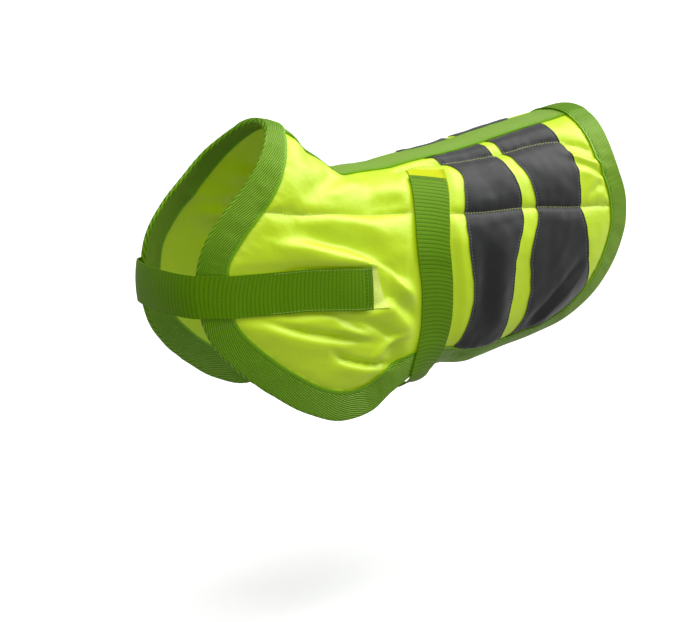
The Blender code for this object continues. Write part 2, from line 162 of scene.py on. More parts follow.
# The flat pattern of one half: s runs along the spine from the nape, t down the side
CUT_EDGE = (
    (0, 0), (1, 40), (2, 84), (2, 116), (5, 147), (13, 177), (28, 208), (43, 223), (61, 234),
    (81, 243), (100, 252), (118, 258), (133, 252), (144, 236), (158, 225), (182, 234), (212, 246),
    (252, 250), (294, 250), (335, 242), (366, 219), (390, 187), (404, 152), (405, 122), (398, 90),
    (396, 60), (399, 28), (401, 0),
)
UPPER_QUILTING = ((150, 27), (194, 33), (263, 42), (339, 52), (368, 68))
LOWER_QUILTING = (
    (20, 107), (45, 91), (86, 72), (142, 74), (194, 88), (263, 100), (338, 118), (381, 125),
)
CHEST_STRAP = (
    (110, 137), (90, 140), (73, 147), (58, 158.5), (44.5, 170.5), (33, 183), (25, 191), (14, 202),
)
GIRTH_STRAP = ((172, 47), (163, 80), (160, 104), (166, 150), (169, 187), (166, 224), (165, 248))

# Folds as rows of height, breadth above, breadth below and a line that runs towards the tail
LEFT_FOLDS = (
    (-4.5, 13, 3.5, (
        (38, 119), (51, 110), (70, 105), (87, 103), (102, 108), (117, 117), (133, 131), (152, 149),
    )),
    (6.0, 6, 13, ((36, 129), (53, 119), (76, 114), (96, 115), (112, 122), (128, 135), (150, 154))),
    (2.8, 9, 7, ((50, 93), (74, 80), (98, 80), (122, 92))),
    (-5.4, 6, 4.5, ((104, 117), (111, 128), (118, 137), (130, 149), (140, 160), (156, 178))),
    (4.6, 7, 10, ((108, 134), (119, 148), (131, 162), (140, 174), (146, 190))),
    (-3.2, 4, 3, ((86, 163), (103, 164), (112, 167), (122, 173), (131, 181), (146, 189))),
    (-2.2, 3, 3, ((94, 163), (104, 169), (116, 177))),
    (2.6, 4, 5, ((92, 172), (106, 176), (120, 181))),
    (-3.8, 3.5, 3, ((56, 187), (72, 184), (89, 182), (103, 182), (122, 187))),
    (2.4, 5, 10, ((54, 195), (72, 191), (90, 189), (112, 190))),
    (-4.4, 3, 2.5, ((98, 193), (106, 200), (114, 204), (125, 207), (140, 211))),
    (3.2, 4, 9, ((98, 204), (113, 209), (126, 213), (142, 217))),
    (-5.5, 5, 6, ((134, 187), (138, 196), (140, 206), (143, 216))),
    (3.6, 3, 4, ((123, 206), (126, 198), (129, 191), (134, 185), (146, 186))),
    (-3.0, 8, 8, ((40, 78), (58, 56), (76, 34))),
    (3.0, 9, 11, ((60, 66), (84, 50), (104, 36))),
    (2.6, 11, 8, ((108, 50), (150, 54))),
    (-1.8, 6, 6, ((96, 62), (140, 64))),
    (4.0, 13, 12, ((238, 108), (232, 158), (240, 212))),
    (-2.0, 8, 8, ((212, 116), (214, 150), (216, 190))),
    (3.4, 3, 14, ((281, 224), (308, 200), (346, 173))),
    (-2.4, 6, 3, ((276, 216), (304, 192), (340, 167))),
    (-2.4, 4, 4, ((331, 57), (353, 69), (384, 81))),
    (2.2, 4, 4, ((333, 65), (354, 77), (382, 89))),
    (-2.4, 4, 4, ((336, 74), (358, 85), (380, 98))),
    (1.8, 4, 5, ((342, 84), (362, 94), (382, 106))),
    (-2.0, 4, 5, ((346, 112), (364, 103), (380, 102))),
    (3.0, 8, 3, ((196, 215), (214, 218), (232, 221), (248, 222))),
    (-6.0, 3, 8, ((194, 223), (206, 226), (222, 233))),
)
RIGHT_FOLDS = (
    (5.2, 8, 14, ((38, 128), (60, 118), (88, 118), (112, 134), (128, 160), (146, 186))),
    (-4.0, 8, 7, ((36, 114), (58, 104), (84, 103), (108, 116))),
    (2.6, 9, 8, ((48, 97), (72, 86), (104, 86))),
    (-3.2, 6, 7, ((104, 146), (118, 166), (132, 184))),
    (-3.0, 3.5, 5, ((80, 172), (98, 176), (118, 186))),
    (3.2, 6, 9, ((70, 190), (92, 186), (120, 197))),
    (-3.6, 3, 5, ((94, 206), (112, 209), (134, 205))),
    (2.8, 6, 10, ((78, 214), (104, 222), (130, 222))),
    (4.6, 4, 9, ((136, 194), (137, 206), (141, 220))),
    (-3.4, 4, 4, ((146, 198), (147, 210), (149, 220))),
    (-2.6, 8, 8, ((34, 72), (56, 58), (82, 30))),
    (2.8, 9, 11, ((70, 62), (96, 48), (118, 40))),
    (2.4, 11, 9, ((104, 60), (144, 52))),
    (3.6, 13, 14, ((226, 120), (238, 164), (228, 216))),
    (3.2, 4, 13, ((292, 228), (318, 196), (340, 158))),
    (-2.2, 6, 4, ((284, 218), (310, 186), (332, 152))),
    (-2.2, 4, 4, ((326, 66), (352, 74), (384, 72))),
    (2.0, 4, 5, ((330, 76), (354, 84), (384, 84))),
    (-2.2, 4, 5, ((336, 88), (360, 94), (384, 96))),
    (-2.0, 4, 5, ((344, 126), (362, 116), (380, 112))),
    (2.6, 7, 4, ((204, 216), (224, 220), (246, 219))),
)
# Dips and rises across the spine, each as its place, its height and its breadth
SPINE_DIPS = ((95, -3.6, 11), (33, 1.6, 9), (150, -1.0, 16), (64, 1.2, 12), (355, -0.9, 14))
FADE_BELOW_SPINE, FADE_FROM_EDGE = (20, 40), (10, 32)  # where the folds rise to their height
EDGE_WAVE, EDGE_WAVE_LONG, EDGE_WAVE_RUN = 1.1, 62, 22  # the slack along the cut edge
QUILT_DIP, QUILT_BREADTH = 1.4, 6.5
STIFFENED, BANDS_BEGIN = 0.9, (178, 198)  # the lower dip loses this much under the bands
VALLEY, VALLEY_BREADTH = 0.8, 2.0  # the stitches pull the cloth in by this much
PUCKER, PUCKER_RUN, PUCKER_FREE = 0.75, 6, 3.5  # small puckers beside each seam
TAPE_PUFF, TAPE_PUFF_LONG, TAPE_PUFF_RUN = 1.3, 44, 12  # broader puffs beside the spine tape
SHARP_EDGE = math.radians(50)


def through(knots, rows, at):
    """Smooth values at the given places between a table's rows."""
    slopes = np.gradient(rows, knots, axis=0)
    i = np.clip(np.searchsorted(knots, at) - 1, 0, len(knots) - 2)
    run = (knots[i + 1] - knots[i])[:, None]
    u = (at - knots[i])[:, None] / run
    start = (2 * u**3 - 3 * u**2 + 1) * rows[i] + (u**3 - 2 * u**2 + u) * run * slopes[i]
    end = (3 * u**2 - 2 * u**3) * rows[i + 1] + (u**3 - u**2) * run * slopes[i + 1]
    return start + end


def run_along(points):
    """Distance from the first point to each point of a line."""
    return np.r_[0.0, np.cumsum(np.linalg.norm(np.diff(points, axis=0), axis=1))]


def curve(points, step):
    """A smooth line through a table's points, with a point about every step."""
    rows = np.asarray(points, float)
    run = run_along(rows)
    return through(run, rows, np.linspace(0, run[-1], max(2, round(run[-1] / step) + 1)))


def unit(vectors):
    """The same directions, each with a length of one."""
    return vectors / np.linalg.norm(vectors, axis=-1, keepdims=True)


def smooth(value, low, high):
    """0 at low, 1 at high and a soft step between them."""
    u = np.clip((value - low) / (high - low), 0, 1)
    return u * u * (3 - 2 * u)


def figure_ring(s, t):
    """Points of the figure's left side at one place along the spine."""
    ring = dict(zip(FIGURE_COLUMNS, through(SPINE_RUN, FIGURE, np.array([s]))[0]))
    turn = np.linspace(0, math.pi, 181)
    cos, sin = np.abs(np.cos(turn)), np.sin(turn).clip(0)
    upper = turn <= math.pi / 2
    power = np.where(upper, 2 / ring["top_round"], 2 / ring["low_round"])
    out = ring["half_width"] * sin**power
    above = ring["widest_at"] * (1 - cos**power)
    below = ring["widest_at"] + (ring["depth"] - ring["widest_at"]) * cos**power
    down = np.where(upper, above, below)
    run = np.r_[0.0, np.cumsum(np.hypot(np.diff(out), np.diff(down)))]
    i = np.clip(np.searchsorted(run, t) - 1, 0, len(run) - 2)
    u = (t - run[i]) / (run[i + 1] - run[i])
    out, down = (row[i] + u * (row[i + 1] - row[i]) for row in (out, down))
    tilt = math.radians(ring["lean"])
    return np.stack([
        ring["x"] - down * math.sin(tilt), -out, ring["z"] - down * math.cos(tilt)
    ], axis=1)


# The figure is measured once a millimetre, with its slopes and its outward direction
SPINE_RUN = run_along(FIGURE[:, :2])
CHART_S, CHART_T = np.arange(-12.0, 420.0), np.arange(0.0, 300.0)
SKIN_CHART = np.array([figure_ring(s, CHART_T) for s in CHART_S])
BY_S, BY_T = np.gradient(SKIN_CHART, axis=(0, 1))
OUT_CHART = np.cross(BY_T, BY_S)
OUT_CHART[:, 0, 1] = 0.0
CHART = np.concatenate([SKIN_CHART, unit(OUT_CHART), BY_S, BY_T], axis=2)


def between(grid, u, v):
    """A grid's values at places between its rows and between its columns."""
    i = np.minimum(u.astype(int), grid.shape[0] - 2)
    j = np.minimum(v.astype(int), grid.shape[1] - 2)
    u, v = (u - i)[:, None], (v - j)[:, None]
    near = (grid[i, j] * (1 - u) + grid[i + 1, j] * u) * (1 - v)
    return near + (grid[i, j + 1] * (1 - u) + grid[i + 1, j + 1] * u) * v


def chart(flat):
    """Figure point, outward direction and the two slopes under points of the pattern."""
    s, t = np.asarray(flat, float).T
    u = np.clip(s - CHART_S[0], 0, len(CHART_S) - 1.001)
    v = np.clip(np.abs(t), 0, len(CHART_T) - 1.001)
    value = between(CHART, u, v)
    value[:, 1::3] *= np.where(t < 0, -1.0, 1.0)[:, None]
    return value[:, :3], unit(value[:, 3:6]), value[:, 6:9], value[:, 9:]


def on_side(points, side):
    """Points of the left half, or their mirror images."""
    return points * np.array([1.0, side, 1.0])


def laid(flat, height, side):
    """Points over the pattern, at a height over the figure."""
    skin, out, _, _ = chart(flat)
    return on_side(skin + out * np.reshape(height, (-1, 1)), side)


def inset(line, widths, steps=1, evened=0):
    """A line beside another, each point walked across the figure by its width."""
    moved = np.array(line, float)
    for _ in range(steps):
        heading = np.gradient(moved, axis=0)
        _, _, by_s, by_t = chart(moved)
        way = unit(by_s * heading[:, :1] + by_t * heading[:, 1:])
        side = np.cross(way, unit(np.cross(by_s, by_t)))
        ss, st, tt = (by_s * by_s).sum(1), (by_s * by_t).sum(1), (by_t * by_t).sum(1)
        s_part, t_part = (side * by_s).sum(1), (side * by_t).sum(1)
        bend = ss * tt - st * st
        walk = np.stack([(s_part * tt - t_part * st) / bend, (t_part * ss - s_part * st) / bend], 1)
        moved += walk * np.reshape(widths, (-1, 1)) / steps
        for _ in range(evened):
            moved[1:-1] += (moved[:-2] + moved[2:] - 2 * moved[1:-1]) / 4
    return moved


def beside(points, line):
    """Distance from each point to a line, how far along it is, and +1 where it is below."""
    start, way = line[:-1], np.diff(line, axis=0)
    long = np.linalg.norm(way, axis=1)
    reach = points[:, None] - start
    u = ((reach * way).sum(2) / long**2).clip(0, 1)
    off = reach - u[..., None] * way
    away = np.linalg.norm(off, axis=2)
    k = away.argmin(axis=1)
    rows = np.arange(len(points))
    off, way = off[rows, k], way[k]
    side = np.sign(way[:, 0] * off[:, 1] - way[:, 1] * off[:, 0])
    return away[rows, k], run_along(line)[k] + u[rows, k] * long[k], side


def inside(points, loop):
    """Which of the pattern's points lie within a closed line."""
    x, y = points[:, :1], points[:, 1:]
    x0, y0 = loop.T
    x1, y1 = np.roll(loop, -1, axis=0).T
    crosses = (y0 > y) != (y1 > y)
    level = np.where(y1 == y0, 1.0, y1 - y0)
    return (crosses & (x < x0 + (y - y0) / level * (x1 - x0))).sum(axis=1) % 2 == 1


def ripple(run, wave, seed):
    """A smooth uneven wave along a line, between -1 and 1."""
    knots = np.random.RandomState(seed).uniform(-1, 1, 512)
    at = np.asarray(run) / wave * 2 + 7
    i = np.floor(at).astype(int)
    u = at - i
    u = u * u * (3 - 2 * u)
    return knots[i % 512] * (1 - u) + knots[(i + 1) % 512] * u


def rumple(flat, size, seed):
    """Soft uneven dents over the pattern, between about -1 and 1."""
    return np.array([noise.noise((s / size, t / size, seed)) for s, t in flat]) * 1.6


EDGE_LINE = curve(CUT_EDGE, 2.0)
EDGE_LINE[:, 1] = np.maximum(EDGE_LINE[:, 1], SEAM / 2)
EDGE_RUN = run_along(EDGE_LINE)
LEAF_WIDE = BINDING_WIDE_AT_NAPE + (BINDING_WIDE - BINDING_WIDE_AT_NAPE) * smooth(
    EDGE_RUN, 0, NAPE_RUN
)
LEAF_WIDE *= 1 + 0.02 * ripple(EDGE_RUN, 26, 8)
LEAF_COLUMNS = 24
LEAF_LINES = [EDGE_LINE]
for _ in range(LEAF_COLUMNS):
    leaf_line = inset(LEAF_LINES[-1], LEAF_WIDE / LEAF_COLUMNS, evened=2)
    leaf_line[[0, -1], 1] = SEAM / 2
    LEAF_LINES.append(leaf_line)
BINDING_END = LEAF_LINES[-1]
UPPER_LINE, LOWER_LINE = curve(UPPER_QUILTING, 3.0), curve(LOWER_QUILTING, 3.0)
CHEST_LINE, GIRTH_LINE = curve(CHEST_STRAP, 4.0), curve(GIRTH_STRAP, 4.0)


def strap_press(flat, clear):
    """0 under a strap and 1 where it is clear of it by some millimetres."""
    press = np.ones(len(flat))
    for line in (CHEST_LINE, GIRTH_LINE):
        press *= smooth(beside(flat, line)[0], WEBBING_HALF - 2, WEBBING_HALF + clear)
    return press


def folds(flat, side):
    """The listed folds, which lift both faces of the wall."""
    height = np.zeros(len(flat))
    for lift, above, below, points in LEFT_FOLDS if side == LEFT else RIGHT_FOLDS:
        line = curve(points, 5.0)
        away, run, where = beside(flat, line)
        part = run / run_along(line)[-1]
        taper = smooth(part, -0.1, 0.3) * smooth(part, 1.1, 0.7)
        height += lift * taper * np.exp(-((away / np.where(where > 0, below, above)) ** 2))
    height *= smooth(flat[:, 1], *FADE_BELOW_SPINE) * (0.2 + 0.8 * strap_press(flat, 4))
    edge_away, edge_run, _ = beside(flat, EDGE_LINE)
    height *= smooth(edge_away, *FADE_FROM_EDGE)
    slack = EDGE_WAVE * ripple(edge_run, EDGE_WAVE_LONG, 3) * np.exp(-edge_away / EDGE_WAVE_RUN)
    height += slack * smooth(flat[:, 1], 10, 50)
    lower_dip = QUILT_DIP - STIFFENED * smooth(flat[:, 0], *BANDS_BEGIN)
    free = 0.3 + 0.7 * strap_press(flat, 5)
    for line, dip in ((UPPER_LINE, QUILT_DIP), (LOWER_LINE, lower_dip)):
        height -= dip * np.exp(-((beside(flat, line)[0] / QUILT_BREADTH) ** 2)) * free
    for s, lift, breadth in SPINE_DIPS:
        height += lift * np.exp(-(((flat[:, 0] - s) / breadth) ** 2)) * smooth(flat[:, 1], 44, 4)
    return height


def wall(flat, side):
    """Heights of the wall's inner and outer face over the figure."""
    flat = np.asarray(flat, float)
    raised = folds(flat, side)
    seams = [beside(flat, line)[:2] for line in (UPPER_LINE, LOWER_LINE, BINDING_END)]
    below_tape = np.abs(flat[:, 1]) - TAPE_HALF
    seams.append((np.abs(below_tape), flat[:, 0]))
    sewn = np.min([away for away, _ in seams], axis=0)
    padded = inside(flat, BINDING_END) & (below_tape > 0)
    loft = LOFT * (1 - np.exp(-sewn / LOFT_RUN))
    for number, (away, run) in enumerate(seams):
        pucker = ripple(run, 15, 20 + number + 5 * (side < 0)) + 0.5 * ripple(run, 8, 40 + number)
        loft += PUCKER * pucker * np.exp(-away / PUCKER_RUN) * smooth(away, 0.0, PUCKER_FREE)
    away, run = seams[-1]
    puff = TAPE_PUFF * ripple(run, TAPE_PUFF_LONG, 33) * np.exp(-away / TAPE_PUFF_RUN)
    loft += puff * smooth(away, 0.0, 8.0)
    dents = 0.8 * rumple(flat, 30, 3 + side) + 0.35 * rumple(flat, 12, 9 + side)
    loft += dents * smooth(sewn, 2, 14)
    valley = VALLEY * np.exp(-((sewn / VALLEY_BREADTH) ** 2))
    loft = np.where(padded, (np.maximum(loft, 0.0) - valley) * strap_press(flat, 8), 0.0)
    return raised, raised + WALL + loft


def net(lines, outline, step):
    """Triangles over a part of the pattern, with every line among their edges."""
    columns = np.r_[np.arange(3, FINE_UNTIL, step * 0.75), np.arange(FINE_UNTIL, NET_LONG, step)]
    rows = np.arange(1.5, NET_DEEP, step * 0.87)
    grid = np.array([(s + (j % 2) * step / 2, t) for j, t in enumerate(rows) for s in columns])
    keep = inside(grid, outline)
    for line in lines:
        keep[keep] &= beside(grid[keep], line)[0] > step * 0.45
    points, edges = [], []
    for line in lines:
        first = len(points)
        points += [Vector(point) for point in line]
        edges += [(first + i, first + i + 1) for i in range(len(line) - 1)]
    points += [Vector(point) for point in grid[keep]]
    spots, _, cells, _, _, _ = delaunay_2d_cdt(points, edges, [], 0, 0.02)
    flat, cells = np.array([tuple(spot) for spot in spots]), np.array(cells)
    cells = cells[inside(flat[cells].mean(axis=1), outline)]
    used, cells = np.unique(cells, return_inverse=True)
    return flat[used], cells.reshape(-1, 3)


def rim(cells):
    """The edges that only one of the cells has, in the cells' own direction."""
    sides = cells.shape[1]
    ends = np.concatenate([cells[:, [i, (i + 1) % sides]] for i in range(sides)])
    ordered = np.sort(ends, axis=1)
    _, index, count = np.unique(ordered, axis=0, return_inverse=True, return_counts=True)
    return ends[count[index.reshape(-1)] == 1]


def mesh_piece(name, points, faces, material, **maps):
    """A piece from points in millimetres, with each map's place of every point."""
    mesh = bpy.data.meshes.new(name)
    mesh.from_pydata((points * MM).tolist(), [], faces)
    corners = np.zeros(len(mesh.loops), int)
    mesh.loops.foreach_get("vertex_index", corners)
    for label, places in maps.items():
        mesh.uv_layers.new(name=label).data.foreach_set("uv", places[corners].ravel())
    mesh.shade_smooth()
    mesh.materials.append(material)
    piece = bpy.data.objects.new(name, mesh)
    bpy.context.collection.objects.link(piece)
    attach(piece, "root")
    return piece


def sewn_piece(name, cells, low, high, pattern, material, woven_edge=None):
    """A closed piece between two faces that share the same cells, in millimetres.

    woven_edge is how far each point is from the tape's nearest edge."""
    first = cells[0]
    normal = np.cross(high[first[1]] - high[first[0]], high[first[2]] - high[first[0]])
    if normal @ (high[first[0]] - low[first[0]]) < 0:
        cells = cells[:, ::-1]
    count = len(low)
    faces = (cells + count).tolist() + cells[:, ::-1].tolist()
    faces += [(a, b, b + count, a + count) for a, b in rim(cells).tolist()]
    maps = {"pattern": np.vstack([pattern, pattern])}
    if woven_edge is not None:
        edge = np.tile(woven_edge, 2)
        maps["edge"] = np.stack([edge, edge], 1)
    piece = mesh_piece(name, np.vstack([low, high]), faces, material, **maps)
    piece.data.set_sharp_from_angle(angle=SHARP_EDGE)
    return piece


def add(tree, kind, inputs=None, **settings):
    """A node with its settings, and with its inputs set or linked."""
    node = tree.nodes.new("ShaderNode" + kind)
    for key, value in settings.items():
        setattr(node, key, value)
    for key, value in (inputs or {}).items():
        if isinstance(value, bpy.types.NodeSocket):
            tree.links.new(value, node.inputs[key])
        else:
            node.inputs[key].default_value = value
    return node


def math_node(tree, operation, *values):
    """One sum or wave worked out from the given values."""
    return add(tree, "Math", dict(enumerate(values)), operation=operation).outputs[0]


def mix_node(tree, factor, dark, light):
    """A colour between two, each a fixed colour or a socket."""
    inputs = {0: factor, 6: dark, 7: light}
    for key in (6, 7):
        if not isinstance(inputs[key], bpy.types.NodeSocket):
            inputs[key] = (*inputs[key], 1.0)
    return add(tree, "Mix", inputs, data_type="RGBA").outputs[2]


def cloth_group(name, inputs, outputs):
    """An empty node group with named number inputs and outputs, and a pattern vector."""
    group = bpy.data.node_groups.new(name, "ShaderNodeTree")
    group.interface.new_socket("Pattern", in_out="INPUT", socket_type="NodeSocketVector")
    for label, value in inputs.items():
        socket = group.interface.new_socket(label, in_out="INPUT", socket_type="NodeSocketFloat")
        socket.default_value = value
    for label in outputs:
        group.interface.new_socket(label, in_out="OUTPUT", socket_type="NodeSocketFloat")
    return group, group.nodes.new("NodeGroupInput"), group.nodes.new("NodeGroupOutput")


# Fine threads over and under each other, Thread millimetres apart
plain_weave, weave_in, weave_out = cloth_group("plain weave", {"Thread": 0.5}, ["Height"])
weave_scale = math_node(plain_weave, "DIVIDE", math.pi, weave_in.outputs["Thread"])
weave_at = add(plain_weave, "SeparateXYZ", {0: weave_in.outputs["Pattern"]})
weave_waves = []
for axis in (0, 1):
    weave_turn = math_node(plain_weave, "MULTIPLY", weave_at.outputs[axis], weave_scale)
    weave_waves.append(math_node(plain_weave, "SINE", weave_turn))
weave_height = math_node(plain_weave, "MULTIPLY", *weave_waves)
plain_weave.links.new(weave_height, weave_out.inputs["Height"])

# Uneven shade in patches Size millimetres across
mottle, mottle_in, mottle_out = cloth_group("mottle", {"Size": 30.0, "Detail": 3.0}, ["Shade"])
mottle_scale = math_node(mottle, "DIVIDE", 1.0, mottle_in.outputs["Size"])
mottle_at = add(mottle, "VectorMath", {
    0: mottle_in.outputs["Pattern"], "Scale": mottle_scale,
}, operation="SCALE")
mottle_noise = add(mottle, "TexNoise", {
    "Vector": mottle_at.outputs[0], "Scale": 1.0, "Detail": mottle_in.outputs["Detail"],
})
mottle.links.new(mottle_noise.outputs[0], mottle_out.inputs["Shade"])


def mottled(tree, pattern, size, detail):
    """The uneven shade in one material."""
    inputs = {"Pattern": pattern, "Size": size, "Detail": detail}
    return add(tree, "Group", inputs, node_tree=mottle).outputs["Shade"]


def cloth_material(name, finish):
    """A cloth's material, its node tree, its shader and the pattern's millimetres."""
    material = bpy.data.materials.new(name)
    material.use_nodes = True
    tree = material.node_tree
    shader = tree.nodes["Principled BSDF"]
    for key, value in finish.items():
        shader.inputs[key].default_value = value
    return material, tree, shader, add(tree, "UVMap", uv_map="pattern").outputs[0]


def relief(tree, shader, *layers):
    """Raised weave, each layer a height, a strength and a depth in millimetres."""
    normal = {}
    for height, strength, depth in layers:
        inputs = {"Height": height, "Strength": strength, "Distance": depth * MM, **normal}
        normal = {"Normal": add(tree, "Bump", inputs).outputs[0]}
    tree.links.new(normal["Normal"], shader.inputs["Normal"])


YELLOW_DEEP, YELLOW_LIGHT = (0.42, 0.60, 0.0003), (0.49, 0.69, 0.0006)
YELLOW_SHEEN = (1.0, 1.0, 0.6, 1.0)
SMOOTHEST, ROUGHER = 0.38, 0.12
nylon, tree, shader, pattern = cloth_material("padded_nylon", {
    "Specular IOR Level": 0.9, "Specular Tint": YELLOW_SHEEN,
    "Sheen Weight": 0.30, "Sheen Roughness": 0.3, "Sheen Tint": YELLOW_SHEEN,
    # The faint emission is a painted glow: the yellow glows a little, though it is no lamp, and
    # this lifts its shade the way the dye's fluorescence would.
    "Emission Color": (0.55, 0.80, 0.0, 1.0), "Emission Strength": 0.05,
})
shade = mottled(tree, pattern, 34.0, 3.0)
tree.links.new(mix_node(tree, shade, YELLOW_DEEP, YELLOW_LIGHT), shader.inputs["Base Color"])
roughness = math_node(tree, "MULTIPLY_ADD", shade, ROUGHER, SMOOTHEST)
tree.links.new(roughness, shader.inputs["Roughness"])
threads = add(tree, "Group", {"Pattern": pattern, "Thread": 0.45}, node_tree=plain_weave)
crinkle = mottled(tree, pattern, 5.0, 4.0)
relief(tree, shader, (threads.outputs["Height"], 0.35, 0.06), (crinkle, 0.5, 0.6))

spine_seam = curve(((EDGE_LINE[0, 0], SEAM / 2), (EDGE_LINE[-1, 0], SEAM / 2)), 2.5)
PANEL_FLAT, PANEL_CELLS = net(
    [EDGE_LINE, spine_seam, UPPER_LINE, LOWER_LINE, BINDING_END], EDGE_LINE, CLOTH_STEP
)
for word, side in SIDES:
    inner, outer = wall(PANEL_FLAT, side)
    sewn_piece(
        f"nylon_panel_{word}", PANEL_CELLS, laid(PANEL_FLAT, inner, side),
        laid(PANEL_FLAT, outer, side), PANEL_FLAT, nylon,
    )
    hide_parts(f"panel_{word}")

# ---- Reflective bands ----
# Two bands of grey glass-bead cloth a side, from the spine tape down to the hem, each sewn flat
# on the panel along both edges with fine grey thread, so they follow its puffs and folds.

# A row for each depth below the spine: the front band's two edges, then the rear band's
BANDS = np.array((
    (19, 190, 254, 266, 336),
    (50, 207, 259, 271, 338),
    (80, 199, 264, 279, 340),
    (110, 195, 261, 280, 337),
    (140, 198, 249, 268, 341),
    (170, 202, 248, 270, 346),
    (200, 198, 247, 269, 350),
    (235, 188, 250, 256, 352),
), float)
BAND_WIDE, BAND_LONG = {"front": 60.0, "rear": 73.0}, {"front": 206.0, "rear": 204.0}
BAND_COLUMN = {"front": 0, "rear": 2}  # where a band's edges begin in the table
BAND_THICK, BAND_WAVER = 0.5, 0.6
BAND_STITCH, STITCH_DENT = 2.0, 0.45  # how far in from the edge, and how deep it pulls
BAND_ROWS = 120
BAND_PARTS = np.r_[
    0, 0.012, 0.024, 0.036, 0.05, np.linspace(0.08, 0.92, 27), 0.95, 0.964, 0.976, 0.988, 1
]
BAND_STITCH_COLUMNS = (3, -4)
HEM_S, HEM_T = 165, 180  # the hem is what the binding's inner line has behind and below this
STITCH_PITCH, STITCH_LONG = 3.2, 2.5
STITCH_RINGS, STITCH_SIDES = 5, 6
THREAD_HALF = 0.28

# Ribs that slope across a tape, Pitch millimetres apart, Slant degrees from its length
twill, twill_in, twill_out = cloth_group("twill ribs", {"Pitch": 2.4, "Slant": 30.0}, ["Rib"])
twill_at = add(twill, "VectorRotate", {
    "Vector": twill_in.outputs["Pattern"],
    "Angle": math_node(twill, "RADIANS", twill_in.outputs["Slant"]),
}, rotation_type="Z_AXIS")
twill_across = add(twill, "SeparateXYZ", {0: twill_at.outputs[0]}).outputs[1]
twill_scale = math_node(twill, "DIVIDE", 2 * math.pi, twill_in.outputs["Pitch"])
twill_wave = math_node(twill, "SINE", math_node(twill, "MULTIPLY", twill_across, twill_scale))
twill_rib = math_node(twill, "MULTIPLY_ADD", twill_wave, 0.5, 0.5)
twill.links.new(twill_rib, twill_out.inputs["Rib"])


def twilled(tree, pattern, pitch, slant):
    """The sloping ribs in one material."""
    inputs = {"Pattern": pattern, "Pitch": pitch, "Slant": slant}
    return add(tree, "Group", inputs, node_tree=twill).outputs["Rib"]


def thread_material(name, color):
    """Twisted thread of one colour, a little uneven."""
    finish = {"Roughness": 0.5, "Specular IOR Level": 0.4}
    thread, tree, shader, pattern = cloth_material(name, finish)
    twist = twilled(tree, pattern, 0.5, 40.0)
    dark = tuple(0.6 * value for value in color)
    tree.links.new(mix_node(tree, twist, dark, color), shader.inputs["Base Color"])
    relief(tree, shader, (twist, 0.6, 0.1))
    return thread


def stitches(name, runs, thread, thick=THREAD_HALF):
    """One row of raised stitches for each run of points, outward directions and where it shows."""
    part = np.linspace(0, 1, STITCH_RINGS)
    turn = np.arange(STITCH_SIDES) * 2 * math.pi / STITCH_SIDES
    swell = np.sin(math.pi * part)
    radius = (thick * (0.3 + 0.7 * swell))[:, None, None]
    rings, places = [], []
    for points, outward, shows in runs:
        run = run_along(points)
        start = np.arange(0.5, run[-1] - STITCH_LONG, STITCH_PITCH)
        start = start[np.interp(start + STITCH_LONG / 2, run, shows) > 0.5]
        at = start[:, None] + part * STITCH_LONG
        spot = np.stack([np.interp(at, run, points[:, i]) for i in range(3)], -1)
        up = unit(np.stack([np.interp(at, run, outward[:, i]) for i in range(3)], -1))
        across = unit(np.cross(spot[:, -1:] - spot[:, :1], up))
        spot += up * (thick * (1.1 * swell - 0.4))[:, None]
        rise, aside = np.cos(turn)[:, None], np.sin(turn)[:, None]
        around = up[:, :, None] * rise + across[:, :, None] * aside
        rings.append((spot[:, :, None] + radius * around).reshape(-1, 3))
        place = np.broadcast_arrays(at[:, :, None], turn * thick)
        places.append(np.stack(place, -1).reshape(-1, 2))
    index = np.arange(STITCH_RINGS * STITCH_SIDES).reshape(STITCH_RINGS, STITCH_SIDES)
    ahead = np.roll(index, -1, axis=1)
    cells = np.stack([index[:-1], ahead[:-1], ahead[1:], index[1:]], -1).reshape(-1, 4)
    rings = np.vstack(rings)
    faces = []
    for base in range(0, len(rings), index.size):
        faces += (cells + base).tolist()
        faces += [(index[0][::-1] + base).tolist(), (index[-1] + base).tolist()]
    piece = mesh_piece(name, rings, faces, thread, pattern=np.vstack(places))
    return piece


def stitch_line(line, height, side, shows=None):
    """A run of stitches along a line of the pattern, at a height over the figure."""
    shows = np.ones(len(line)) if shows is None else shows
    return laid(line, height, side), on_side(chart(line)[1], side), shows


def grid_cells(rows, columns):
    """Square cells between rows of points."""
    index = np.arange(rows * columns).reshape(rows, columns)
    corners = (index[:-1, :-1], index[:-1, 1:], index[1:, 1:], index[1:, :-1])
    return np.stack(corners, -1).reshape(-1, 4)


def band_points(from_column):
    """The pattern's points of a band, row by row from the spine tape to the binding."""
    rows = np.linspace(0, 1, BAND_ROWS)[:, None] * np.ones(len(BAND_PARTS))
    part = np.ones((BAND_ROWS, 1)) * BAND_PARTS
    hem = BINDING_END[(BINDING_END[:, 0] > HEM_S) & (BINDING_END[:, 1] > HEM_T)]
    hem = hem[np.argsort(hem[:, 0])]
    t = TAPE_HALF + rows * 200
    for _ in range(6):
        edges = through(BANDS[:, 0], BANDS[:, 1:], t.ravel())
        front, rear = (
            edges[:, column].reshape(t.shape) + BAND_WAVER * ripple(t, 17, 80 + column)
            for column in (from_column, from_column + 1)
        )
        s = front + part * (rear - front)
        t = TAPE_HALF + 0.2 + rows * (np.interp(s, hem[:, 0], hem[:, 1]) - TAPE_HALF - 0.4)
    return np.stack([s, t], -1).reshape(-1, 2)


